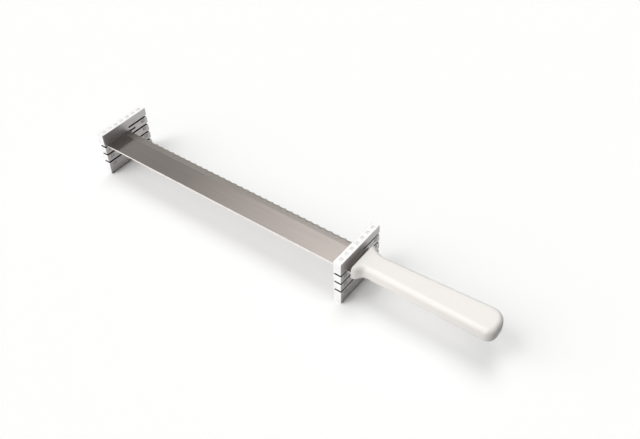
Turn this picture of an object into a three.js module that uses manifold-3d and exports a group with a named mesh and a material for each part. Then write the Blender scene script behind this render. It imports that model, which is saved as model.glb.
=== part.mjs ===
// Cake layer slicer: a long knife with a scalloped edge, held level by two slotted guides that stand on the table.
// Millimetres. +X runs from the blade's tip to the handle's butt, +Y from the spine to the teeth, and +Z is up.
// The origin lies on the table, under the middle of the whole object.

import * as THREE from 'three';
import { mergeVertices } from 'three/addons/utils/BufferGeometryUtils.js';
import Module from 'manifold-3d';

const wasm = await Module();
wasm.setup();

// Clearances, and how far a cutting shape reaches past the piece that it cuts
const runningClearance = 0.3; // between the blade and each wall of a slot
const mouldedClearance = 0.3; // between the tang and the handle round it
const cutOverrun = 3;

// Blade
const bladeLength = 310; // from the handle's front to the tip
const bladeWidth = 32;
const bladeThickness = 1.5;
const tipRadius = 2.5;
const toothPitch = 7.67;
const toothDepth = 1.2;
const plainHeel = 13.4; // straight edge beside the handle
const groundWidth = 8; // thinned strip beside the teeth, on both faces
const edgeThickness = 0.5; // left at the points of the teeth

// Tang, the narrow end of the blade inside the handle
const tangLength = 104; // from the handle's front
const tangWidth = 14;
const tangOffset = 1.5; // of the tang's middle from the blade's, towards the teeth
const tangCornerRadius = 3;
const tangHoleRadius = 3;
const tangHolesFromFront = [36, 76];

// Handle. Its half widths are measured from the blade's middle line.
const handleLength = 132;
const handleThickness = 15;
const handleEdgeRadius = 5;
const spineSide = { guard: 17.5, neck: 9.9, neckFromFront: 12, butt: 11.3, buttRadius: 9 };
const teethSide = { guard: 19.7, neck: 12.2, neckFromFront: 19, butt: 17.9, buttRadius: 14 };

// Control points of each finger guard's curve: shares of the way from the front to the neck, and of the guard's drop
const spineGuardShares = { leave: [0.42, 0], arrive: [0.46, 1] };
const teethGuardShares = { leave: [0.24, 0.45], arrive: [0.42, 1] };

// Guides
const guideWidth = 60; // across the blade
const guideHeight = 50;
const guideThickness = 8;
const slotPitch = 5; // one step in layer thickness
const lowestSlot = 10; // height of the lowest slot's middle
const slotCount = 7;
const seatSlot = 5; // the slot that the blade lies in, counted from 0 at the lowest
const spineSlotDepth = 43; // of the slots that open on the spine side
const teethSlotDepth = 26; // of the slots that open on the teeth side
const mouthRadius = 1.2; // rounding of a slot's lips

// Places of the guides on the blade
const handleGap = 5; // from the handle's front to the near guide
const tipReach = 3; // of the tip into the far guide's slot
const nearSpineInset = 9; // from the near guide's side to the spine
const farSpineInset = 3.2; // from the far guide's side to the spine

// Fineness of the curved outlines
const arcSteps = 6;
const roundingSteps = 4;
const leastStep = 0.01;

// Derived sizes and places, with X from the handle's front and Y from the blade's middle line
const slotGap = bladeThickness + 2 * runningClearance;
const seatHeight = lowestSlot + seatSlot * slotPitch;
const toothCount = Math.floor((bladeLength - plainHeel - tipRadius) / toothPitch);
const nearGuideX = -handleGap - guideThickness / 2;
const farGuideX = tipReach - bladeLength - guideThickness / 2;
const nearGuideY = -bladeWidth / 2 - nearSpineInset + guideWidth / 2;
const farGuideY = -bladeWidth / 2 - farSpineInset + guideWidth / 2;
const leastX = Math.min(farGuideX - guideThickness / 2, -bladeLength);
const middleX = (leastX + handleLength) / 2;
const middleY = (nearGuideY + farGuideY) / 2;

// Closed surface of a geometry, as a solid that can be cut and joined
function toSolid(geometry) {
  const bare = geometry.clone();
  bare.deleteAttribute('normal');
  bare.deleteAttribute('uv');
  const merged = mergeVertices(bare);
  return new wasm.Manifold(new wasm.Mesh({
    numProp: 3,
    vertProperties: new Float32Array(merged.attributes.position.array),
    triVerts: new Uint32Array(merged.index.array),
  }));
}

// Named mesh of a solid in its own material
function toMesh(name, solid, material) {
  const { vertProperties, triVerts } = solid.getMesh();
  const geometry = new THREE.BufferGeometry();
  geometry.setAttribute('position', new THREE.BufferAttribute(vertProperties, 3));
  geometry.setIndex(new THREE.BufferAttribute(triVerts, 1));
  geometry.computeVertexNormals();
  const mesh = new THREE.Mesh(geometry, material);
  mesh.name = name;
  return mesh;
}

// Points of a path, without the doubles that lie where two of its curves meet
function distinctPoints(path) {
  const points = path.getPoints(arcSteps);
  return points.filter((point, index) => {
    const before = points[(index + points.length - 1) % points.length];
    return point.distanceTo(before) > leastStep;
  });
}

// The same outline with straight steps in place of its curves
function stepped(outline) {
  const plain = new THREE.Shape(distinctPoints(outline));
  plain.holes = outline.holes.map((hole) => new THREE.Path(distinctPoints(hole)));
  return plain;
}

// Plate with its outline in X and Y and its thickness centred on Z = 0
function plate(outline, thickness) {
  const settings = { depth: thickness, bevelEnabled: false };
  return new THREE.ExtrudeGeometry(stepped(outline), settings).translate(0, 0, -thickness / 2);
}

// Bar with its outline in Y and Z and its length centred on X = 0
function bar(outline, length) {
  const along = new THREE.Vector3(1, 0, 0);
  const across = new THREE.Vector3(0, 1, 0);
  const up = new THREE.Vector3(0, 0, 1);
  return plate(outline, length).applyMatrix4(new THREE.Matrix4().makeBasis(across, up, along));
}

// Row of hollow arcs that meet in points, drawn from the heel towards the tip
function addTeeth(outline) {
  const arcRadius = (toothPitch ** 2 / 4 + toothDepth ** 2) / (2 * toothDepth);
  const halfAngle = Math.asin(toothPitch / 2 / arcRadius);
  const arcCentreY = bladeWidth / 2 - toothDepth + arcRadius;
  for (let tooth = 0; tooth < toothCount; tooth += 1) {
    const arcCentreX = -plainHeel - (tooth + 0.5) * toothPitch;
    outline.absarc(arcCentreX, arcCentreY, arcRadius, -Math.PI / 2 + halfAngle, -Math.PI / 2 - halfAngle, true);
  }
}

// Tang's outline, grown by a margin on every side and run back past the handle's front
function addTang(outline, start, margin) {
  const low = tangOffset - tangWidth / 2 - margin;
  const high = tangOffset + tangWidth / 2 + margin;
  const radius = tangCornerRadius + margin;
  const cornerX = tangLength + margin - radius;
  outline.lineTo(start, low);
  outline.absarc(cornerX, low + radius, radius, -Math.PI / 2, 0, false);
  outline.absarc(cornerX, high - radius, radius, 0, Math.PI / 2, false);
  outline.lineTo(start, high);
}

function addTangHoles(outline, radius) {
  for (const fromFront of tangHolesFromFront) {
    const hole = new THREE.Path();
    hole.absarc(fromFront, tangOffset, radius, 0, 2 * Math.PI, true);
    outline.holes.push(hole);
  }
}

function bladeOutline() {
  const shoulder = -mouldedClearance;
  const tipX = tipRadius - bladeLength;
  const outline = new THREE.Shape();
  outline.moveTo(shoulder, -bladeWidth / 2);
  addTang(outline, shoulder, 0);
  outline.lineTo(shoulder, bladeWidth / 2);
  outline.lineTo(-plainHeel, bladeWidth / 2);
  addTeeth(outline);
  outline.absarc(tipX, bladeWidth / 2 - tipRadius, tipRadius, Math.PI / 2, Math.PI, false);
  outline.absarc(tipX, tipRadius - bladeWidth / 2, tipRadius, Math.PI, 1.5 * Math.PI, false);
  addTangHoles(outline, tangHoleRadius);
  return outline;
}

// Wedge that thins one face beside the teeth. The heel keeps its thickness.
function groundWedge(face) {
  const drop = (bladeThickness - edgeThickness) / 2;
  const slope = drop / groundWidth;
  const outerY = bladeWidth / 2 + cutOverrun;
  const surface = bladeThickness / 2;
  const outline = new THREE.Shape();
  outline.moveTo(bladeWidth / 2 - groundWidth, face * surface);
  outline.lineTo(outerY, face * (surface - drop - slope * cutOverrun));
  outline.lineTo(outerY, face * (surface + cutOverrun));
  outline.closePath();
  const length = bladeLength - plainHeel + cutOverrun;
  return toSolid(bar(outline, length).translate(-plainHeel - length / 2, 0, 0));
}

function blade(material) {
  const blank = toSolid(plate(bladeOutline(), bladeThickness));
  const ground = blank.subtract(groundWedge(1)).subtract(groundWedge(-1));
  return toMesh('blade', ground, material);
}

// Control point of a finger guard's curve, as a place from the front and a half width
function guardPoint(side, [along, drop]) {
  return [along * side.neckFromFront, side.guard - drop * (side.guard - side.neck)];
}

function handleOutline() {
  const frontX = -handleEdgeRadius - cutOverrun;
  const [spineLeaveX, spineLeaveY] = guardPoint(spineSide, spineGuardShares.leave);
  const [spineArriveX, spineArriveY] = guardPoint(spineSide, spineGuardShares.arrive);
  const [teethLeaveX, teethLeaveY] = guardPoint(teethSide, teethGuardShares.leave);
  const [teethArriveX, teethArriveY] = guardPoint(teethSide, teethGuardShares.arrive);
  const spineButt = spineSide.buttRadius;
  const teethButt = teethSide.buttRadius;
  const outline = new THREE.Shape();
  outline.moveTo(frontX, -spineSide.guard);
  outline.lineTo(0, -spineSide.guard);
  outline.bezierCurveTo(
    spineLeaveX, -spineLeaveY, spineArriveX, -spineArriveY, spineSide.neckFromFront, -spineSide.neck,
  );
  outline.absarc(handleLength - spineButt, spineButt - spineSide.butt, spineButt, -Math.PI / 2, 0, false);
  outline.absarc(handleLength - teethButt, teethSide.butt - teethButt, teethButt, 0, Math.PI / 2, false);
  outline.lineTo(teethSide.neckFromFront, teethSide.neck);
  outline.bezierCurveTo(teethArriveX, teethArriveY, teethLeaveX, teethLeaveY, 0, teethSide.guard);
  outline.lineTo(frontX, teethSide.guard);
  outline.closePath();
  return outline;
}

// Hollow for the tang, from in front of the handle. Its holes leave the plugs that fill the tang's holes.
function tangHollow() {
  const frontX = -handleEdgeRadius - cutOverrun;
  const outline = new THREE.Shape();
  outline.moveTo(frontX, tangOffset);
  addTang(outline, frontX, mouldedClearance);
  outline.closePath();
  addTangHoles(outline, tangHoleRadius - mouldedClearance);
  return toSolid(plate(outline, bladeThickness + 2 * mouldedClearance));
}

function handle(material) {
  const rounded = new THREE.ExtrudeGeometry(stepped(handleOutline()), {
    depth: handleThickness - 2 * handleEdgeRadius,
    bevelThickness: handleEdgeRadius,
    bevelSize: handleEdgeRadius,
    bevelOffset: -handleEdgeRadius,
    bevelSegments: roundingSteps,
  }).translate(0, 0, handleEdgeRadius - handleThickness / 2);
  const frontLength = handleEdgeRadius + 2 * cutOverrun;
  const frontWidth = spineSide.guard + teethSide.guard + 2 * cutOverrun;
  const front = new THREE.BoxGeometry(frontLength, frontWidth, handleThickness + 2 * cutOverrun)
    .translate(-frontLength / 2, (teethSide.guard - spineSide.guard) / 2, 0);
  const trimmed = toSolid(rounded).subtract(toSolid(front));
  return toMesh('handle', trimmed.subtract(tangHollow()), material);
}

// One slot, with rounded lips and a round end. Side is 1 on the right, drawn upwards, or -1 on the left, downwards.
function addSlot(outline, side, height, depth) {
  const turn = side > 0 ? 0 : Math.PI;
  const lipX = side * (guideWidth / 2 - mouthRadius);
  const endX = side * (guideWidth / 2 - depth + slotGap / 2);
  const lipRise = side * (slotGap / 2 + mouthRadius);
  outline.absarc(lipX, height - lipRise, mouthRadius, turn, turn + Math.PI / 2, false);
  outline.absarc(endX, height, slotGap / 2, turn - Math.PI / 2, turn + Math.PI / 2, true);
  outline.absarc(lipX, height + lipRise, mouthRadius, turn - Math.PI / 2, turn, false);
}

function guideOutline() {
  const heights = Array.from({ length: slotCount }, (_, slot) => lowestSlot + slot * slotPitch);
  const spineSlots = heights.filter((_, slot) => slot % 2 === seatSlot % 2);
  const teethSlots = heights.filter((_, slot) => slot % 2 !== seatSlot % 2);
  const outline = new THREE.Shape();
  outline.moveTo(-guideWidth / 2, 0);
  outline.lineTo(guideWidth / 2, 0);
  teethSlots.forEach((height) => addSlot(outline, 1, height, teethSlotDepth));
  outline.lineTo(guideWidth / 2, guideHeight);
  outline.lineTo(-guideWidth / 2, guideHeight);
  spineSlots.reverse().forEach((height) => addSlot(outline, -1, height, spineSlotDepth));
  outline.closePath();
  return outline;
}

function guide(name, material) {
  return toMesh(name, toSolid(bar(guideOutline(), guideThickness)), material);
}

const steel = new THREE.MeshStandardMaterial({ color: '#b3aca6', roughness: 0.28, metalness: 1 });
const plastic = new THREE.MeshStandardMaterial({ color: '#efece6', roughness: 0.42, metalness: 0 });
const nearMetal = new THREE.MeshStandardMaterial({ color: '#c9c8c8', roughness: 0.35, metalness: 1 });
const farMetal = nearMetal.clone();

const knife = new THREE.Group();
knife.add(blade(steel), handle(plastic));
knife.position.set(0, 0, seatHeight);

const nearGuide = guide('near_guide', nearMetal);
nearGuide.position.set(nearGuideX, nearGuideY, 0);
const farGuide = guide('far_guide', farMetal);
farGuide.position.set(farGuideX, farGuideY, 0);

const group = new THREE.Group();
group.name = 'cake_layer_slicer';
group.add(knife, nearGuide, farGuide);
group.position.set(-middleX, -middleY, 0);

export default group;
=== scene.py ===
"""Cake layer slicer: a scalloped blade in a moulded handle, held level by two slotted guides that stand on the table.

The pieces are modelled in millimetres and set in metres. +X runs from the tip to the handle's butt, +Y from the spine
to the teeth, and +Z is up.
"""
import math

import bmesh
import bpy
from mathutils import Matrix, Vector
from mathutils.geometry import interpolate_bezier


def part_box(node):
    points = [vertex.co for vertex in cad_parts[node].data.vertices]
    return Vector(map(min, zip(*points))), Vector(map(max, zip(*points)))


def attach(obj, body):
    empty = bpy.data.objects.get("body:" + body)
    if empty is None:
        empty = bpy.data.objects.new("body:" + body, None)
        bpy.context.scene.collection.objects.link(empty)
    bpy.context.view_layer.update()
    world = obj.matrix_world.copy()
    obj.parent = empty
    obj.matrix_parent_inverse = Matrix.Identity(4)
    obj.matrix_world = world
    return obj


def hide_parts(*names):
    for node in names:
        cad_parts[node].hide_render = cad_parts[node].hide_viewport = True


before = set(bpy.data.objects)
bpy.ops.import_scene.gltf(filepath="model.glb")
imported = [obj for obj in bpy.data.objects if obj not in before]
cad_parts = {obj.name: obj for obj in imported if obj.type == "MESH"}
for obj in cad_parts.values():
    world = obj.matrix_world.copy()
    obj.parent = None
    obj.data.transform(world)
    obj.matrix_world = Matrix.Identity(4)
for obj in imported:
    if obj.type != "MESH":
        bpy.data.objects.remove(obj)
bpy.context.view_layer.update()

MM = 0.001
SAME_PLACE = 0.002  # mm, corners nearer than this are one corner
CLOSE = 0.01  # mm, near enough to count as lying at a place


def box_mm(node):
    """Lowest and highest corner of a node of the frame, in millimetres."""
    low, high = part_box(node)
    return low / MM, high / MM


# ---------------------------------------------------------------- modelling in millimetres


def everything(bm):
    """All corners, edges and faces of a mesh."""
    return bm.verts[:] + bm.edges[:] + bm.faces[:]


def with_rims(faces):
    """Faces together with their edges and corners, for a cut that stays within them."""
    edges = {edge for face in faces for edge in face.edges}
    corners = {corner for face in faces for corner in face.verts}
    return faces + list(edges) + list(corners)


def middle_of(item):
    """The middle of an edge or a face."""
    return sum((corner.co for corner in item.verts), Vector()) / len(item.verts)


def reach(item, axis):
    """How far an edge or a face reaches along the axis 0, 1 or 2."""
    return max(corner.co[axis] for corner in item.verts)


def pushed(bm, edges, move):
    """Extrudes edges by a distance and returns the new edges and corners."""
    made = bmesh.ops.extrude_edge_only(bm, edges=edges)["geom"]
    corners = [item for item in made if isinstance(item, bmesh.types.BMVert)]
    bmesh.ops.translate(bm, vec=move, verts=corners)
    return [item for item in made if isinstance(item, bmesh.types.BMEdge)], corners


def raised(bm, faces, move):
    """Extrudes faces by a distance and returns the new faces."""
    made = bmesh.ops.extrude_face_region(bm, geom=faces)["geom"]
    bmesh.ops.translate(bm, vec=move, verts=[item for item in made if isinstance(item, bmesh.types.BMVert)])
    return [item for item in made if isinstance(item, bmesh.types.BMFace)]


def sized(bm, corners, share, about):
    """Scales corners about a point."""
    bmesh.ops.scale(bm, vec=share, space=Matrix.Translation(-Vector(about)), verts=corners)


def rounded(bm, geom, radius, segments, affect="EDGES"):
    """Rounds edges, or the corners of an outline."""
    bmesh.ops.bevel(
        bm, geom=geom, offset=radius, segments=segments, profile=0.5, affect=affect, material=-1, clamp_overlap=False
    )


def sliced(bm, place, normal, geom=None, clear=False):
    """Cuts along a plane and, where asked, clears what lies beyond it."""
    bmesh.ops.bisect_plane(
        bm, geom=geom or everything(bm), dist=1e-5, plane_co=place, plane_no=normal, clear_outer=clear
    )


def corner_cut_round(bm, centre, radius, first, cuts=7):
    """Cuts a sheet's corner round with planes that touch its circle, over a quarter turn from the angle `first`."""
    for cut in range(cuts):
        turn = math.radians(first + 90 * (cut + 0.5) / cuts)
        outward = Vector((math.cos(turn), math.sin(turn), 0))
        sliced(bm, Vector(centre) + outward * radius, outward, clear=True)


def swept(bm, corner, centre, turn, steps, axis):
    """Draws an arc from a corner round a centre and returns the arc's last corner."""
    made = bmesh.ops.spin(
        bm, geom=[corner], cent=centre, axis=axis, dvec=(0, 0, 0), angle=math.radians(turn), steps=steps,
        use_merge=False, use_duplicate=False,
    )["geom_last"]
    return next(item for item in made if isinstance(item, bmesh.types.BMVert))


def drawn(bm, corner, move):
    """Draws a straight line from a corner and returns its other end."""
    end = bmesh.ops.extrude_vert_indiv(bm, verts=[corner])["verts"][0]
    bmesh.ops.translate(bm, vec=move, verts=[end])
    return end


def repeated(bm, times, step):
    """Repeats the whole mesh along a line and welds the copies."""
    bmesh.ops.spin(
        bm, geom=everything(bm), cent=(0, 0, 0), axis=(0, 0, 1), dvec=step, angle=0, steps=times - 1,
        use_merge=False, use_duplicate=True,
    )
    bmesh.ops.remove_doubles(bm, verts=bm.verts, dist=SAME_PLACE)


def piece_from(name, bm, finishes, body, node=None, sharp=30, grain=None):
    """Sets a mesh in metres as a piece that rides on a body. Edges that turn more than `sharp` degrees stay crisp.

    `grain` gives the axis across the polishing lines of a face, for the stretch of its reflections.
    """
    bmesh.ops.recalc_face_normals(bm, faces=bm.faces)
    for edge in bm.edges:
        edge.smooth = len(edge.link_faces) == 2 and edge.calc_face_angle() < math.radians(sharp)
    for face in bm.faces:
        face.smooth = True
    if grain:
        lines = bm.loops.layers.uv.new("grain")
        for face in bm.faces:
            across, along = grain(face)
            for loop in face.loops:
                loop[lines].uv = (loop.vert.co[across] * MM, loop.vert.co[along] * MM)
    bmesh.ops.scale(bm, vec=(MM, MM, MM), verts=bm.verts)
    mesh = bpy.data.meshes.new(name)
    bm.to_mesh(mesh)
    bm.free()
    for finish in finishes:
        mesh.materials.append(finish)
    piece = bpy.data.objects.new(name, mesh)
    bpy.context.scene.collection.objects.link(piece)
    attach(piece, body)
    if node:
        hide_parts(node)
    return piece


# ---------------------------------------------------------------- finishes


def colour(code):
    """sRGB hex value -> linear colour."""
    shares = [int(code[place:place + 2], 16) / 255 for place in (1, 3, 5)]
    return (*[share / 12.92 if share <= 0.04045 else ((share + 0.055) / 1.055) ** 2.4 for share in shares], 1)


def add(tree, kind, inputs=(), **settings):
    """Adds a node with its settings. A socket among its inputs is linked, and any other value is set."""
    node = tree.nodes.new(kind)
    for name, value in settings.items():
        setattr(node, name, value)
    for place, value in dict(inputs).items():
        if isinstance(value, bpy.types.NodeSocket):
            tree.links.new(value, node.inputs[place])
        else:
            node.inputs[place].default_value = value
    return node


def new_finish(name):
    """An empty material with its output, and the object's own coordinates in millimetres."""
    finish = bpy.data.materials.new(name)
    finish.use_nodes = True
    tree = finish.node_tree
    tree.nodes.clear()
    place = add(tree, "ShaderNodeTexCoord").outputs["Object"]
    in_mm = add(tree, "ShaderNodeMapping", {"Vector": place, "Scale": (1 / MM, 1 / MM, 1 / MM)}).outputs["Vector"]
    return finish, tree, in_mm


def long_grain_satin():
    """Stainless steel strip, polished along its length. Long fine lines stretch its reflections across the blade."""
    finish, tree, in_mm = new_finish("stainless_steel_long_grain_satin")
    # Real lines are about 0.03 mm wide and 20 mm long. These are 1 mm wide, so that they show.
    stretched = add(tree, "ShaderNodeMapping", {"Vector": in_mm, "Scale": (0.02, 1.0, 1.0)}).outputs["Vector"]
    lines = add(tree, "ShaderNodeTexNoise", {"Vector": stretched, "Scale": 1.0, "Detail": 2.0, "Roughness": 0.5})
    rolled = add(tree, "ShaderNodeTexNoise", {"Vector": in_mm, "Scale": 0.03, "Detail": 1.0})
    shade = add(
        tree, "ShaderNodeMapRange",
        {"Value": lines.outputs["Fac"], "From Min": 0.25, "From Max": 0.75, "To Min": 0.95, "To Max": 1.05},
    )
    tint = add(
        tree, "ShaderNodeMix",
        {"Factor": 1.0, "A": colour("#C4BBB5"), "B": shade.outputs["Result"]},
        data_type="RGBA", blend_type="MULTIPLY",
    )
    roughness = add(
        tree, "ShaderNodeMapRange",
        {"Value": rolled.outputs["Fac"], "From Min": 0.3, "From Max": 0.7, "To Min": 0.14, "To Max": 0.17},
    )
    tangent = add(tree, "ShaderNodeTangent", direction_type="UV_MAP", uv_map="grain")
    shader = add(
        tree, "ShaderNodeBsdfPrincipled",
        {
            "Base Color": tint.outputs["Result"], "Metallic": 1.0, "Roughness": roughness.outputs["Result"],
            "Anisotropic": 0.6, "Tangent": tangent.outputs["Tangent"],
        },
    )
    add(tree, "ShaderNodeOutputMaterial", {"Surface": shader.outputs["BSDF"]})
    return finish


def cross_ground():
    """The same steel where a wheel has ground the edge. Short lines run across the blade, and it is a little duller."""
    finish, tree, in_mm = new_finish("stainless_steel_ground_edge")
    # Wheel marks, drawn 0.25 mm apart.
    stretched = add(tree, "ShaderNodeMapping", {"Vector": in_mm, "Scale": (4.0, 0.12, 0.12)}).outputs["Vector"]
    marks = add(tree, "ShaderNodeTexNoise", {"Vector": stretched, "Scale": 1.0, "Detail": 3.0, "Roughness": 0.6})
    shade = add(
        tree, "ShaderNodeMapRange",
        {"Value": marks.outputs["Fac"], "From Min": 0.3, "From Max": 0.7, "To Min": 0.86, "To Max": 1.06},
    )
    tint = add(
        tree, "ShaderNodeMix",
        {"Factor": 1.0, "A": colour("#C0B8B2"), "B": shade.outputs["Result"]},
        data_type="RGBA", blend_type="MULTIPLY",
    )
    bump = add(tree, "ShaderNodeBump", {"Height": marks.outputs["Fac"], "Strength": 0.15, "Distance": 0.03 * MM})
    shader = add(
        tree, "ShaderNodeBsdfPrincipled",
        {
            "Base Color": tint.outputs["Result"], "Metallic": 1.0, "Roughness": 0.28,
            "Normal": bump.outputs["Normal"],
        },
    )
    add(tree, "ShaderNodeOutputMaterial", {"Surface": shader.outputs["BSDF"]})
    return finish


def polished_spine():
    """The same steel on the blade's narrow back, tumbled, and tinted far paler than steel: painted highlight, so that
    it shows as a white line along the blade.
    """
    finish, tree, in_mm = new_finish("stainless_steel_spine_painted_highlight")
    nicks = add(tree, "ShaderNodeTexNoise", {"Vector": in_mm, "Scale": 0.6, "Detail": 3.0})
    roughness = add(
        tree, "ShaderNodeMapRange",
        {"Value": nicks.outputs["Fac"], "From Min": 0.3, "From Max": 0.7, "To Min": 0.4, "To Max": 0.55},
    )
    shader = add(
        tree, "ShaderNodeBsdfPrincipled",
        {"Base Color": colour("#F0ECE8"), "Metallic": 1.0, "Roughness": roughness.outputs["Result"]},
    )
    add(tree, "ShaderNodeOutputMaterial", {"Surface": shader.outputs["BSDF"]})
    return finish


def moulded_white():
    """White polypropylene, injection moulded in a finely blasted steel mould. Soft wide highlights, faint grain."""
    finish, tree, in_mm = new_finish("polypropylene_moulded_white")
    # The blasted grain is about 0.1 mm, drawn at 0.5 mm.
    grain = add(tree, "ShaderNodeTexNoise", {"Vector": in_mm, "Scale": 2.0, "Detail": 3.0, "Roughness": 0.6})
    flow = add(tree, "ShaderNodeTexNoise", {"Vector": in_mm, "Scale": 0.025, "Detail": 2.0})
    cloud = add(
        tree, "ShaderNodeMix",
        {"Factor": flow.outputs["Fac"], "A": colour("#EEE9E4"), "B": colour("#F3F0EC")}, data_type="RGBA",
    )
    bump = add(tree, "ShaderNodeBump", {"Height": grain.outputs["Fac"], "Strength": 0.12, "Distance": 0.05 * MM})
    roughness = add(
        tree, "ShaderNodeMapRange",
        {"Value": grain.outputs["Fac"], "From Min": 0.3, "From Max": 0.7, "To Min": 0.3, "To Max": 0.38},
    )
    shader = add(
        tree, "ShaderNodeBsdfPrincipled",
        {
            "Base Color": cloud.outputs["Result"], "Roughness": roughness.outputs["Result"], "IOR": 1.49,
            "Normal": bump.outputs["Normal"],
        },
    )
    add(tree, "ShaderNodeOutputMaterial", {"Surface": shader.outputs["BSDF"]})
    return finish


def aluminium(name, tone, spacing, smoothest, roughest, stretch, metal=1.0):
    """Aluminium flat bar whose faces carry fine lines along the bar. They blur its reflections up and down.

    `metal` is below 1 where a pale diffuse share is added: painted light, which keeps the milled tops and sides white.
    """
    finish, tree, in_mm = new_finish(name)
    # Real lines are about 0.05 mm apart.
    stretched = add(
        tree, "ShaderNodeMapping", {"Vector": in_mm, "Scale": (1 / spacing, 0.06 / spacing, 1 / spacing)}
    ).outputs["Vector"]
    lines = add(tree, "ShaderNodeTexNoise", {"Vector": stretched, "Scale": 1.0, "Detail": 3.0, "Roughness": 0.55})
    shade = add(
        tree, "ShaderNodeMapRange",
        {"Value": lines.outputs["Fac"], "From Min": 0.25, "From Max": 0.75, "To Min": 0.9, "To Max": 1.08},
    )
    tint = add(
        tree, "ShaderNodeMix",
        {"Factor": 1.0, "A": colour(tone), "B": shade.outputs["Result"]},
        data_type="RGBA", blend_type="MULTIPLY",
    )
    roughness = add(
        tree, "ShaderNodeMapRange",
        {"Value": lines.outputs["Fac"], "From Min": 0.3, "From Max": 0.7, "To Min": smoothest, "To Max": roughest},
    )
    tangent = add(tree, "ShaderNodeTangent", direction_type="UV_MAP", uv_map="grain")
    shader = add(
        tree, "ShaderNodeBsdfPrincipled",
        {
            "Base Color": tint.outputs["Result"], "Metallic": metal, "Roughness": roughness.outputs["Result"],
            "Anisotropic": stretch, "Tangent": tangent.outputs["Tangent"],
        },
    )
    add(tree, "ShaderNodeOutputMaterial", {"Surface": shader.outputs["BSDF"]})
    return finish


def broken_edge():
    """The aluminium's edges, broken by a file. Brighter and smoother than the faces."""
    finish, tree, in_mm = new_finish("aluminium_broken_edge")
    wear = add(tree, "ShaderNodeTexNoise", {"Vector": in_mm, "Scale": 0.8, "Detail": 3.0})
    roughness = add(
        tree, "ShaderNodeMapRange",
        {"Value": wear.outputs["Fac"], "From Min": 0.3, "From Max": 0.7, "To Min": 0.22, "To Max": 0.36},
    )
    shader = add(
        tree, "ShaderNodeBsdfPrincipled",
        {"Base Color": colour("#E4E3E3"), "Metallic": 1.0, "Roughness": roughness.outputs["Result"]},
    )
    add(tree, "ShaderNodeOutputMaterial", {"Surface": shader.outputs["BSDF"]})
    return finish


def ink(name, code, roughness):
    """Marking ink, printed thin on the metal. Matt, and uneven where the grain shows through."""
    finish, tree, in_mm = new_finish(name)
    worn = add(tree, "ShaderNodeTexNoise", {"Vector": in_mm, "Scale": 3.0, "Detail": 3.0})
    amount = add(
        tree, "ShaderNodeMapRange",
        {"Value": worn.outputs["Fac"], "From Min": 0.45, "From Max": 0.8, "To Min": 0.0, "To Max": 0.3},
    )
    tint = add(
        tree, "ShaderNodeMix",
        {"Factor": amount.outputs["Result"], "A": colour(code), "B": colour("#8C8A89")}, data_type="RGBA",
    )
    shader = add(
        tree, "ShaderNodeBsdfPrincipled", {"Base Color": tint.outputs["Result"], "Roughness": roughness, "IOR": 1.5}
    )
    add(tree, "ShaderNodeOutputMaterial", {"Surface": shader.outputs["BSDF"]})
    return finish


satin_steel = long_grain_satin()
ground_steel = cross_ground()
spine_steel_painted_highlight = polished_spine()
white_plastic = moulded_white()
# The faces' darker tone and the rims' near-white tone are partly their finishes and partly painted: shade on the broad
# faces, light on the tops and sides.
guide_face_painted_dark = aluminium("aluminium_fine_ground_painted_dark", "#BDBABA", 0.35, 0.42, 0.48, 0.1)
guide_rim_painted_pale = aluminium("aluminium_milled_painted_pale", "#FCFBFA", 0.5, 0.58, 0.66, 0.1, 0.35)
# Nearly black: painted shade deep in the slots and on the rounding along the foot.
slot_and_foot_painted_shade = aluminium("aluminium_painted_shade_slots_and_foot", "#2C2B2B", 0.5, 0.45, 0.55, 0.3)
guide_edge = broken_edge()
face_ink = ink("marking_ink_dark", "#1C1A1A", 0.6)
top_ink = ink("marking_ink_light", "#B6B4B1", 0.6)

# ---------------------------------------------------------------- blade

TOOTH_PITCH = 7.67
TOOTH_DEPTH = 1.2
TEETH = 38
GROUND_WIDTH = 8.0
SCALLOP_REACH = 2.6  # how far a scallop's grinding runs in from its edge, at its middle
SCALLOP_RIDGE = 0.5  # and between two of them
EDGE_THICKNESS = 0.5
HONED_THICKNESS = 0.14
SPINE_ROUNDING = 0.35
TIP_RADIUS = 2.5
PLAIN_HEEL = 13.4
HEEL_RUN_OUT = 1.6  # over which the grinding ends before the plain heel
SHOULDER_GAP = 0.3  # between the blade's shoulders and the handle
TANG_WIDTH = 14.0
TANG_LENGTH = 104.0
TANG_OFFSET = 1.5
TANG_CORNER = 3.0
TANG_HOLE = 3.0  # radius
TANG_HOLES = (36.0, 76.0)  # from the handle's front
SATIN, GROUND, SPINE = range(3)  # places of the blade's finishes

blade_low, blade_high = box_mm("blade")
blade_middle = (blade_low + blade_high) / 2
shoulder_x = blade_high.x - TANG_LENGTH - SHOULDER_GAP
heel_x = blade_high.x - TANG_LENGTH - PLAIN_HEEL
handle_low, handle_high = box_mm("handle")
tang_y = blade_middle.y + TANG_OFFSET


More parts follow.
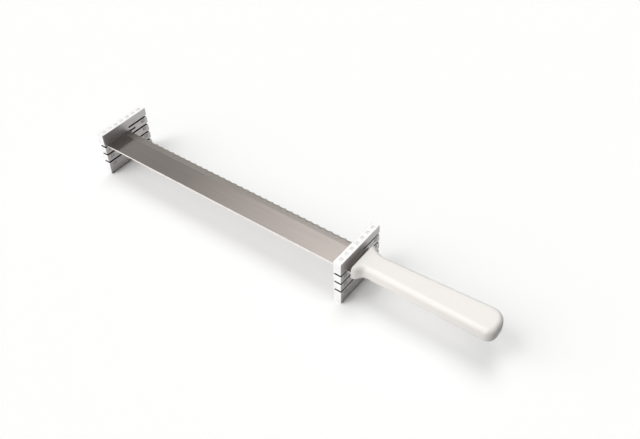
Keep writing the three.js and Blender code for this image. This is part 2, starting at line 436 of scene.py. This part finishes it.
def make_blade():
    """Half the blade's thickness is made as one sheet, whose rim is then drawn to the middle plane and mirrored."""
    top_z, edge_y = blade_high.z, blade_high.y
    ground_y = edge_y - GROUND_WIDTH
    first_x = heel_x - TEETH * TOOTH_PITCH
    arc_radius = (TOOTH_PITCH ** 2 / 4 + TOOTH_DEPTH ** 2) / (2 * TOOTH_DEPTH)
    half_turn = math.degrees(math.asin(TOOTH_PITCH / 2 / arc_radius))
    slope = math.atan((blade_high.z - blade_low.z - EDGE_THICKNESS) / 2 / GROUND_WIDTH)

    bm = bmesh.new()
    start = bm.verts.new((first_x, edge_y, top_z))
    centre = (first_x + TOOTH_PITCH / 2, edge_y - TOOTH_DEPTH + arc_radius, top_z)
    swept(bm, start, centre, 2 * half_turn, 8, (0, 0, 1))
    edge_row = bm.verts[:]
    scallop_edges, scallop_row = pushed(bm, bm.edges[:], (0, 0, 0))
    sized(bm, scallop_row, (1, (TOOTH_DEPTH + SCALLOP_REACH - SCALLOP_RIDGE) / TOOTH_DEPTH, 1), (0, edge_y, 0))
    bmesh.ops.translate(bm, vec=(0, -SCALLOP_RIDGE, 0), verts=scallop_row)
    ground_edges, ground_row = pushed(bm, scallop_edges, (0, 0, 0))
    sized(bm, ground_row, (1, 0, 1), (0, ground_y, 0))
    bmesh.ops.rotate(
        bm, verts=edge_row + scallop_row, cent=(0, ground_y, top_z), matrix=Matrix.Rotation(-slope, 3, "X")
    )
    sized(bm, edge_row, (1, 1, 0), (0, 0, blade_middle.z + HONED_THICKNESS / 2))
    pushed(bm, ground_edges, (0, blade_low.y - ground_y, 0))
    repeated(bm, TEETH, (TOOTH_PITCH, 0, 0))

    tip_end = [edge for edge in bm.edges if abs(middle_of(edge).x - first_x) < CLOSE and edge.is_boundary]
    pushed(bm, tip_end, (blade_low.x - first_x, 0, 0))
    heel_end = [edge for edge in bm.edges if abs(middle_of(edge).x - heel_x) < CLOSE and edge.is_boundary]
    run_out, corners = pushed(bm, heel_end, (HEEL_RUN_OUT, 0, 0))
    sized(bm, corners, (1, 1, 0), (0, 0, top_z))
    pushed(bm, run_out, (shoulder_x - heel_x - HEEL_RUN_OUT, 0, 0))
    for side in (-1, 1):
        heel = [face for face in bm.faces if middle_of(face).x > heel_x + HEEL_RUN_OUT]
        sliced(bm, (0, tang_y + side * TANG_WIDTH / 2, 0), (0, 1, 0), geom=with_rims(heel))
    corner_cut_round(bm, (blade_low.x + TIP_RADIUS, edge_y - TIP_RADIUS, 0), TIP_RADIUS, 90)
    corner_cut_round(bm, (blade_low.x + TIP_RADIUS, blade_low.y + TIP_RADIUS, 0), TIP_RADIUS, 180)

    root = [
        edge for edge in bm.edges
        if abs(middle_of(edge).x - shoulder_x) < CLOSE and abs(middle_of(edge).y - tang_y) < TANG_WIDTH / 2
    ]
    stations = [handle_low.x + hole + side * TANG_WIDTH / 2 for hole in TANG_HOLES for side in (-1, 1)]
    reached = shoulder_x
    for station in stations + [blade_high.x]:
        root, _ = pushed(bm, root, (station - reached, 0, 0))
        reached = station
    for hole in TANG_HOLES:
        centre = Vector((handle_low.x + hole, tang_y, top_z))
        around = [
            face for face in bm.faces
            if abs(middle_of(face).x - centre.x) < 1 and abs(middle_of(face).y - tang_y) < TANG_WIDTH / 2
        ]
        rim = list({
            edge for face in around for edge in face.edges
            if sum(other in around for other in edge.link_faces) == 1
        })
        bmesh.ops.delete(bm, geom=around, context="FACES_ONLY")
        ring = bmesh.ops.create_circle(
            bm, cap_ends=False, radius=TANG_HOLE, segments=24, matrix=Matrix.Translation(centre)
        )["verts"]
        hole_edges = list({edge for corner in ring for edge in corner.link_edges})
        bmesh.ops.bridge_loops(bm, edges=rim + hole_edges)
    corner_cut_round(bm, (blade_high.x - TANG_CORNER, tang_y + TANG_WIDTH / 2 - TANG_CORNER, 0), TANG_CORNER, 0)
    corner_cut_round(bm, (blade_high.x - TANG_CORNER, tang_y - TANG_WIDTH / 2 + TANG_CORNER, 0), TANG_CORNER, 270)

    for face in bm.faces:
        before_heel = middle_of(face).x < heel_x + HEEL_RUN_OUT
        face.material_index = GROUND if middle_of(face).y > ground_y and before_heel else SATIN
    _, middle_rim = pushed(bm, [edge for edge in bm.edges if edge.is_boundary], (0, 0, 0))
    sized(bm, middle_rim, (1, 1, 0), (0, 0, blade_middle.z))
    bmesh.ops.mirror(
        bm, geom=everything(bm), matrix=Matrix.Translation((0, 0, -blade_middle.z)), merge_dist=SAME_PLACE, axis="Z"
    )
    bmesh.ops.remove_doubles(bm, verts=bm.verts, dist=SAME_PLACE)
    spine = [
        edge for edge in bm.edges
        if reach(edge, 1) < blade_low.y + CLOSE and abs(middle_of(edge).z - blade_middle.z) > 0.5
    ]
    rounded(bm, spine, SPINE_ROUNDING, 3)
    for face in bm.faces:
        if middle_of(face).y < blade_low.y + SPINE_ROUNDING:
            face.material_index = SPINE
    return piece_from(
        "scalloped_blade", bm, (satin_steel, ground_steel, spine_steel_painted_highlight), "knife", "blade", sharp=2.5,
        grain=lambda face: (1, 0),
    )


# ---------------------------------------------------------------- handle

HANDLE_EDGE = 4.5
# Distances from the blade's middle line, how far back the neck lies, the radius of the butt's corner, and how the
# curve between guard and neck leaves the one and arrives at the other, as shares of its length and depth.
SPINE_SIDE = {
    "guard": 17.5, "neck": 9.9, "neck_at": 12.0, "butt": 11.3, "corner": 9.0, "leave": (0.52, 0.0),
    "arrive": (0.4, 1.0),
}
TEETH_SIDE = {
    "guard": 19.7, "neck": 12.2, "neck_at": 19.0, "butt": 17.9, "corner": 14.0, "leave": (0.24, 0.45),
    "arrive": (0.42, 1.0),
}
FLAT_BORDER = 0.12  # a narrow strip round each flat, which keeps its shading level
TANG_GAP = 0.3
PAST_GUARD = 8.0  # how far the outline is drawn on before it is cut off at the guard's front


def guard_curve(side, steps):
    """The guard's flare, from the handle's front to its neck, as distances from the blade's middle line."""
    def at(share_along, share_in):
        reach = side["guard"] + (side["neck"] - side["guard"]) * share_in
        return Vector((handle_low.x + side["neck_at"] * share_along, reach))
    return interpolate_bezier(at(0, 0), at(*side["leave"]), at(*side["arrive"]), at(1, 1), steps)


def make_handle():
    """The outline is drawn in plan past the guard, given its thickness, rounded all round and cut off flat in front."""
    bm = bmesh.new()
    sides = []
    for side, steps, sign in ((SPINE_SIDE, 20, -1), (TEETH_SIDE, 24, 1)):
        curve = guard_curve(side, steps)
        curve.insert(0, curve[0] + (curve[0] - curve[1]).normalized() * PAST_GUARD)
        sides.append([(point.x, blade_middle.y + sign * point.y) for point in curve])
    spine, teeth = sides
    butt = [(handle_high.x, blade_middle.y - SPINE_SIDE["butt"]), (handle_high.x, blade_middle.y + TEETH_SIDE["butt"])]
    outline = [bm.verts.new((x, y, handle_low.z)) for x, y in spine + butt + teeth[::-1]]
    bm.faces.new(outline)
    spine_corner, teeth_corner = outline[len(spine)], outline[len(spine) + 1]
    rounded(bm, [spine_corner], SPINE_SIDE["corner"], 12, "VERTICES")
    teeth_corner = max(
        (corner for corner in bm.verts if corner.co.y > blade_middle.y), key=lambda corner: corner.co.x + corner.co.y
    )
    rounded(bm, [teeth_corner], TEETH_SIDE["corner"], 16, "VERTICES")
    raised(bm, bm.faces[:], (0, 0, handle_high.z - handle_low.z))
    bmesh.ops.recalc_face_normals(bm, faces=bm.faces)
    rims = [
        edge for edge in bm.edges
        if abs(edge.verts[0].co.z - edge.verts[1].co.z) < CLOSE and reach(edge, 0) > handle_low.x - CLOSE
    ]
    rounded(bm, rims, HANDLE_EDGE, 10)
    sliced(bm, (handle_low.x, 0, 0), (-1, 0, 0), clear=True)
    flats = [face for face in bm.faces if abs(face.normal.z) > 0.999 and len(face.verts) > 8]
    bmesh.ops.inset_region(bm, faces=flats, thickness=FLAT_BORDER, use_even_offset=False)
    bmesh.ops.contextual_create(bm, geom=[edge for edge in bm.edges if edge.is_boundary])

    hollow_y = (tang_y - TANG_WIDTH / 2 - TANG_GAP, tang_y + TANG_WIDTH / 2 + TANG_GAP)
    hollow_z = (blade_low.z - TANG_GAP, blade_high.z + TANG_GAP)
    for place, normal in [((0, y, 0), (0, 1, 0)) for y in hollow_y] + [((0, 0, z), (0, 0, 1)) for z in hollow_z]:
        front = [face for face in bm.faces if reach(face, 0) < handle_low.x + CLOSE]
        sliced(bm, place, normal, geom=with_rims(front))
    mouth = [
        face for face in bm.faces
        if reach(face, 0) < handle_low.x + CLOSE
        and hollow_y[0] < middle_of(face).y < hollow_y[1] and hollow_z[0] < middle_of(face).z < hollow_z[1]
    ]
    raised(bm, mouth, (blade_high.x + TANG_GAP - handle_low.x, 0, 0))
    bmesh.ops.delete(bm, geom=mouth, context="FACES")
    return piece_from("moulded_handle", bm, (white_plastic,), "knife", "handle", sharp=40)


# ---------------------------------------------------------------- guides

SLOT_STEP = 5.0
LOWEST_SLOT = 10.0
SLOT_GAP = 2.1
SPINE_SLOT_DEPTH = 43.0
TEETH_SLOT_DEPTH = 26.0
MOUTH_RADIUS = 1.2
GUIDE_EDGE = 0.2
FOOT_EDGE = 1.2
NUMBER_THICKNESS = 0.03
FACE, RIM, BROKEN, PAINTED_SHADE = range(4)  # places of a guide's finishes


def slotted_side(bm, x, side_y, inward, lowest, slots, depth, top):
    """Draws one side of a guide from foot to top: slots with round ends and rounded lips, an even step apart."""
    half, along = SLOT_GAP / 2, (1, 0, 0)
    turn = 90 * inward
    lip_y, end_y = side_y + inward * MOUTH_RADIUS, side_y + inward * (depth - half)
    corner = foot = bm.verts.new((x, side_y, 0))
    height = 0
    for slot in range(slots):
        middle = lowest + slot * 2 * SLOT_STEP
        under, over = middle - half - MOUTH_RADIUS, middle + half + MOUTH_RADIUS
        corner = drawn(bm, corner, (0, 0, under - height))
        corner = swept(bm, corner, (x, lip_y, under), -turn, 5, along)
        corner = drawn(bm, corner, (0, end_y - lip_y, 0))
        corner = swept(bm, corner, (x, end_y, middle), 2 * turn, 10, along)
        corner = drawn(bm, corner, (0, lip_y - end_y, 0))
        corner = swept(bm, corner, (x, lip_y, over), -turn, 5, along)
        height = over
    return foot, drawn(bm, corner, (0, 0, top - height))


def make_guide(name, node):
    """A flat bar's outline with its slots, given the bar's thickness, with every rim broken."""
    low, high = box_mm(node)
    high.z -= NUMBER_THICKNESS  # the numbers on top lie above it
    bm = bmesh.new()
    ends = slotted_side(bm, low.x, low.y, 1, LOWEST_SLOT + SLOT_STEP, 3, SPINE_SLOT_DEPTH, high.z)
    ends += slotted_side(bm, low.x, high.y, -1, LOWEST_SLOT, 4, TEETH_SLOT_DEPTH, high.z)
    bmesh.ops.contextual_create(bm, geom=[ends[0], ends[2]])
    bmesh.ops.contextual_create(bm, geom=[ends[1], ends[3]])
    bmesh.ops.contextual_create(bm, geom=bm.edges[:])
    raised(bm, bm.faces[:], (high.x - low.x, 0, 0))
    bmesh.ops.recalc_face_normals(bm, faces=bm.faces)
    foot = [edge for edge in bm.edges if reach(edge, 2) < CLOSE]
    rounded(bm, foot, FOOT_EDGE, 3)
    rims = [
        edge for edge in bm.edges
        if edge.calc_face_angle() > math.radians(40) and middle_of(edge).z > FOOT_EDGE - CLOSE
    ]
    rounded(bm, rims, GUIDE_EDGE, 2)
    bmesh.ops.recalc_face_normals(bm, faces=bm.faces)
    for face in bm.faces:
        across, middle = abs(face.normal.x), middle_of(face)
        inside = min(middle.y - low.y, high.y - middle.y, middle.z - low.z, high.z - middle.z) > 0.6 * MOUTH_RADIUS
        face.material_index = FACE if across > 0.97 else BROKEN if across > 0.03 else PAINTED_SHADE if inside else RIM
        # Painted shade: the foot's rounding takes the nearly black slot finish, which draws a dark line along the foot.
        if across > 0.03 and middle.z < FOOT_EDGE:
            face.material_index = PAINTED_SHADE
    return piece_from(
        name, bm, (guide_face_painted_dark, guide_rim_painted_pale, guide_edge, slot_and_foot_painted_shade), node, node, sharp=22,
        grain=lambda face: (2, 1) if abs(face.normal.x) > 0.7 else (0, 1),
    )


# ---------------------------------------------------------------- plain numbers beside the slots

DIGIT_SHARE = 0.7  # of a font's size that a digit's height takes up
TOP_NUMBER_HEIGHT = 3.0
TOP_NUMBER_STEP = 8.0
FACE_NUMBER_HEIGHT = 3.9
FACE_NUMBER_BELOW = 1.6  # from a slot's middle down to its number
FACE_NUMBER_INWARD = 6.5  # from the guide's side to the number's middle


def number_mesh(bm, words, place, across, upright, height):
    """Adds a number as a thin raised mesh. `across` and `upright` are its reading directions."""
    curve = bpy.data.curves.new("number", "FONT")
    curve.body = words
    curve.align_x = "CENTER"
    curve.size = height / DIGIT_SHARE
    curve.extrude = NUMBER_THICKNESS / 2
    curve.resolution_u = 8
    holder = bpy.data.objects.new("number", curve)
    bpy.context.scene.collection.objects.link(holder)
    mesh = bpy.data.meshes.new_from_object(holder.evaluated_get(bpy.context.evaluated_depsgraph_get()))
    bpy.data.objects.remove(holder)
    bpy.data.curves.remove(curve)
    across, upright = Vector(across), Vector(upright)
    outward = across.cross(upright)
    turned = Matrix((across, upright, outward)).transposed().to_4x4()
    mesh.transform(Matrix.Translation(Vector(place) + outward * NUMBER_THICKNESS / 2) @ turned)
    bm.from_mesh(mesh)
    bpy.data.meshes.remove(mesh)


def make_numbers(name, node):
    """Each slot's layer height in millimetres, below its open end on the guide's face toward the handle."""
    low, high = box_mm(node)
    bm = bmesh.new()
    for first, place_y in ((10, high.y - FACE_NUMBER_INWARD), (15, low.y + FACE_NUMBER_INWARD)):
        for height in range(first, 45, 10):
            place = (high.x, place_y, height - FACE_NUMBER_BELOW - FACE_NUMBER_HEIGHT)
            number_mesh(bm, str(height), place, (0, 1, 0), (0, 0, 1), FACE_NUMBER_HEIGHT)
    return piece_from(name, bm, (face_ink,), node)


def make_top_numbers(name, node):
    """The seven layer heights in a row on the guide's top."""
    low, high = box_mm(node)
    middle = (low + high) / 2
    bm = bmesh.new()
    for count in range(7):
        place_y = middle.y + (count - 3) * TOP_NUMBER_STEP
        place = (middle.x + TOP_NUMBER_HEIGHT / 2, place_y, high.z - NUMBER_THICKNESS)
        number_mesh(bm, str(10 + 5 * count), place, (0, 1, 0), (-1, 0, 0), TOP_NUMBER_HEIGHT)
    return piece_from(name, bm, (top_ink,), node)


make_blade()
make_handle()
make_guide("slotted_guide_at_handle", "near_guide")
make_guide("slotted_guide_at_tip", "far_guide")
make_numbers("slot_numbers_at_handle", "near_guide")
make_numbers("slot_numbers_at_tip", "far_guide")
make_top_numbers("top_numbers_at_handle", "near_guide")
make_top_numbers("top_numbers_at_tip", "far_guide")

# ---------------------------------------------------------------- floor, light and camera

FLOOR_REACH = 6  # metres from its middle
LENS = 44.23  # mm, on a film 36 mm wide
CAMERA_PLACE = (0.35091, -0.39928, 0.53747)
CAMERA_TURN = (37.86, 43.79, -1.93)  # degrees of azimuth, of tilt down and of roll


def make_floor():
    """Pale grey paper sweep, which the camera and the metal see as white, with softened shadows."""
    finish, tree, in_mm = new_finish("paper_white_matt")
    fibre = add(tree, "ShaderNodeTexNoise", {"Vector": in_mm, "Scale": 0.5, "Detail": 3.0})
    tint = add(
        tree, "ShaderNodeMix",
        {"Factor": fibre.outputs["Fac"], "A": colour("#FDFDFC"), "B": colour("#FEFEFD")}, data_type="RGBA",
    )
    rays = add(tree, "ShaderNodeLightPath")
    seen = add(
        tree, "ShaderNodeMath", {0: rays.outputs["Is Camera Ray"], 1: rays.outputs["Is Glossy Ray"]},
        operation="MAXIMUM",
    ).outputs["Value"]
    seen = add(
        tree, "ShaderNodeMath", {0: seen, 1: rays.outputs["Is Transmission Ray"]}, operation="MAXIMUM"
    ).outputs["Value"]
    # Painted shade: past the handle the paper's colour for bounced light turns dark grey, which darkens the handle's
    # butt.
    across = add(tree, "ShaderNodeSeparateXYZ", {"Vector": in_mm}).outputs["X"]
    painted_shade_past_handle = add(
        tree, "ShaderNodeMapRange", {"Value": across, "From Min": 180.0, "From Max": 240.0}
    ).outputs["Result"]
    thrown = add(
        tree, "ShaderNodeMix", {"Factor": painted_shade_past_handle, "A": colour("#DEDEDD"), "B": colour("#6C6C6B")}, data_type="RGBA"
    )
    shown = add(
        tree, "ShaderNodeMix", {"Factor": seen, "A": thrown.outputs["Result"], "B": tint.outputs["Result"]},
        data_type="RGBA",
    )
    paper = add(tree, "ShaderNodeBsdfDiffuse", {"Color": shown.outputs["Result"]})
    lit = add(tree, "ShaderNodeEmission", {"Color": (1, 1, 1, 1), "Strength": 1.0})
    # Painted contact shadow: the lift fades where something stands close on the lamps' side, which leaves a dark line
    # along a foot.
    openness = add(
        tree, "ShaderNodeAmbientOcclusion", {"Distance": 7 * MM, "Normal": Vector((-1, 0, 1)).normalized()}, samples=8
    ).outputs["AO"]
    openness = add(tree, "ShaderNodeMath", {0: openness, 1: 3.0}, operation="POWER").outputs["Value"]
    lift = add(tree, "ShaderNodeMath", {0: openness, 1: 0.2}, operation="MULTIPLY").outputs["Value"]
    share = add(tree, "ShaderNodeMath", {0: seen, 1: lift}, operation="MULTIPLY").outputs["Value"]
    mixed = add(tree, "ShaderNodeMixShader", {"Fac": share, 1: paper.outputs["BSDF"], 2: lit.outputs["Emission"]})
    add(tree, "ShaderNodeOutputMaterial", {"Surface": mixed.outputs["Shader"]})
    bm = bmesh.new()
    bmesh.ops.create_grid(bm, x_segments=4, y_segments=4, size=FLOOR_REACH)
    mesh = bpy.data.meshes.new("paper_floor")
    bm.to_mesh(mesh)
    bm.free()
    mesh.materials.append(finish)
    floor = bpy.data.objects.new("paper_floor", mesh)
    bpy.context.scene.collection.objects.link(floor)


def toward(azimuth, elevation):
    """Unit vector from the table: azimuth from +X toward +Y and elevation, in degrees."""
    turn, lift = math.radians(azimuth), math.radians(elevation)
    return Vector((math.cos(turn) * math.cos(lift), math.sin(turn) * math.cos(lift), math.sin(lift)))


def glow(tree, direction, towards, wide, narrow, strength):
    """A soft patch of light in the studio: full within `narrow` degrees of a direction, none beyond `wide`."""
    near = add(tree, "ShaderNodeVectorMath", {0: direction, 1: towards}, operation="DOT_PRODUCT").outputs["Value"]
    return add(
        tree, "ShaderNodeMapRange",
        {
            "Value": near, "From Min": math.cos(math.radians(wide)), "From Max": math.cos(math.radians(narrow)),
            "To Min": 0.0, "To Max": strength,
        },
        interpolation_type="SMOOTHERSTEP",
    ).outputs["Result"]


def make_studio():
    """Soft box above the teeth, lamps and a white wall at the spine's side, and a black cloth past the handle.

    Each patch is placed by azimuth and elevation, then by its outer and inner width in degrees and its strength.
    """
    world = bpy.data.worlds.new("studio")
    world.use_nodes = True
    tree = world.node_tree
    tree.nodes.clear()
    direction = add(tree, "ShaderNodeTexCoord").outputs["Generated"]
    parts = [
        glow(tree, direction, toward(112, 71), 28, 5, 4.4),
        glow(tree, direction, toward(235, 57), 13, 4, 3.8),
        glow(tree, direction, toward(138, 41), 40, 8, 0.33),
        glow(tree, direction, toward(226, 40), 34, 8, 1.9),
        glow(tree, direction, toward(250, 24), 72, 20, 0.85),
    ]
    height = add(tree, "ShaderNodeSeparateXYZ", {"Vector": direction}).outputs["Z"]
    level = add(tree, "ShaderNodeMath", {0: height}, operation="ABSOLUTE").outputs["Value"]
    horizon = add(
        tree, "ShaderNodeMapRange",
        {"Value": level, "From Min": 0.03, "From Max": 0.2, "To Min": 0.9, "To Max": 0.04},
        interpolation_type="SMOOTHERSTEP",
    ).outputs["Result"]
    total = horizon
    for part in parts:
        total = add(tree, "ShaderNodeMath", {0: total, 1: part}, operation="ADD").outputs["Value"]
    cloth = glow(tree, direction, toward(38, 28), 62, 34, 0.97)
    kept = add(tree, "ShaderNodeMath", {0: 1.0, 1: cloth}, operation="SUBTRACT").outputs["Value"]
    total = add(tree, "ShaderNodeMath", {0: total, 1: kept}, operation="MULTIPLY").outputs["Value"]
    rays = add(tree, "ShaderNodeLightPath")
    # Glossy surfaces see the lamps held down, so that they do not burn out, a sheet beside the soft box, a grey sheet
    # in place of the cloth, so that no side of the blade turns black, and the white horizon before the cloth too.
    mirrored = add(tree, "ShaderNodeMath", {0: total, 1: 1.5}, operation="MINIMUM").outputs["Value"]
    sheets = [glow(tree, direction, toward(102, 58), 40, 8, 1.02), glow(tree, direction, toward(50, 40), 66, 34, 0.14)]
    for part in [horizon] + sheets:
        mirrored = add(tree, "ShaderNodeMath", {0: mirrored, 1: part}, operation="MAXIMUM").outputs["Value"]
    strength = add(
        tree, "ShaderNodeMix", {"Factor": rays.outputs["Is Glossy Ray"], "A": total, "B": mirrored}, data_type="FLOAT"
    ).outputs["Result"]
    light = add(tree, "ShaderNodeBackground", {"Color": (1, 1, 1, 1), "Strength": strength})
    backdrop = add(tree, "ShaderNodeBackground", {"Color": (1, 1, 1, 1), "Strength": 1.0})
    seen = add(
        tree, "ShaderNodeMixShader",
        {"Fac": rays.outputs["Is Camera Ray"], 1: light.outputs["Background"], 2: backdrop.outputs["Background"]},
    )
    add(tree, "ShaderNodeOutputWorld", {"Surface": seen.outputs["Shader"]})
    bpy.context.scene.world = world


def make_camera():
    """The photograph's view, found from the object's straight edges."""
    azimuth, elevation, roll = (math.radians(angle) for angle in CAMERA_TURN)
    forward = Vector((
        -math.sin(azimuth) * math.cos(elevation), math.cos(azimuth) * math.cos(elevation), -math.sin(elevation)
    ))
    right = forward.cross(Vector((0, 0, 1))).normalized()
    up = right.cross(forward)
    right, up = (
        right * math.cos(roll) + up * math.sin(roll),
        up * math.cos(roll) - right * math.sin(roll),
    )
    data = bpy.data.cameras.new("camera")
    data.lens = LENS
    data.sensor_width = 36.0
    data.clip_start, data.clip_end = 0.01, 50
    camera = bpy.data.objects.new("camera", data)
    camera.matrix_world = Matrix.Translation(CAMERA_PLACE) @ Matrix((right, up, -forward)).transposed().to_4x4()
    bpy.context.scene.collection.objects.link(camera)
    bpy.context.scene.camera = camera


make_floor()
make_studio()
make_camera()
bpy.context.scene.view_settings.view_transform = "Standard"
